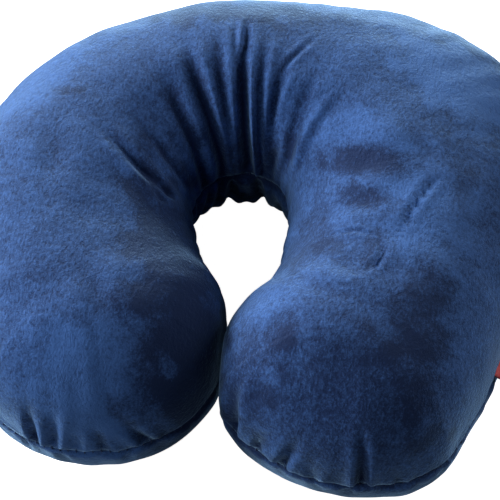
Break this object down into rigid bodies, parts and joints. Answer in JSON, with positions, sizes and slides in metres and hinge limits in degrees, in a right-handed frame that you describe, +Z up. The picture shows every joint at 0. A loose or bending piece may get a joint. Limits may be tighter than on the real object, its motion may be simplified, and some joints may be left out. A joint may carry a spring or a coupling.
{
  "type": "u shaped neck pillow",
  "caption": "U shaped travel neck pillow: foam core in a knitted liner, two panel velour cover, gathered neck edge, back zip, ribbon label in the right arm's seam.",
  "frame": {"origin": "middle of the pillow's outline, on the plane it lies on", "axes": "+Z up through the neck opening, +Y towards the back of the neck, +X towards the arm that carries the ribbon label"},
  "size_m": [0.3203, 0.2914, 0.11],
  "materials": {
    "velour": "short pile velour, navy, with nap marks",
    "thread": "spun polyester sewing thread, navy",
    "zip_tape": "herringbone woven zip tape, navy",
    "zip_coil": "nylon coil, navy",
    "zip_metal": "enamelled die cast zinc, navy, worn at the edges",
    "liner_knit": "thin white jersey knit",
    "foam": "open cell moulded foam, cream",
    "label_ribbon_red": "woven satin edge ribbon, coral red",
    "label_ribbon_black": "woven ribbon backing, black",
    "care_ribbon": "white satin tape, blank"
  },
  "bodies": {
    "cover": {"cover_top_panel": "velour", "cover_bottom_panel": "velour", "seam_stitches": "thread", "zip_tape_upper": "zip_tape", "zip_tape_lower": "zip_tape", "zip_coil_upper": "zip_coil", "zip_coil_lower": "zip_coil", "zip_stitches_upper": "thread", "zip_stitches_lower": "thread", "zip_top_stops": "zip_metal", "zip_bottom_stop": "zip_metal", "liner_top_panel": "liner_knit", "liner_bottom_panel": "liner_knit", "foam_core": "foam", "label_tail": "label_ribbon_black", "care_label": "care_ribbon"},
    "zip_slider": {"zip_slider": "zip_metal"},
    "zip_pull": {"zip_pull_tab": "zip_metal"},
    "side_label": {"label_red": "label_ribbon_red", "label_black": "label_ribbon_black"}
  },
  "joints": [
    {"name": "zip_travel", "type": "hinge", "parent": "cover", "child": "zip_slider", "pos_m": [-0.0095, -0.0042, 0.055], "axis": [0, 0, 1], "range_deg": [0, 67.5]},
    {"name": "pull_swing", "type": "hinge", "parent": "zip_slider", "child": "zip_pull", "pos_m": [-0.05677, 0.13958, 0.055], "axis": [0, 0, -1], "range_deg": [0, 170]},
    {"name": "label_flap", "type": "hinge", "parent": "cover", "child": "side_label", "pos_m": [0.1463, -0.06918, 0.055], "axis": [-0.342, -0.9397, 0], "range_deg": [-40, 80], "stiffness_Nm_per_rad": 0.0005}
  ]
}
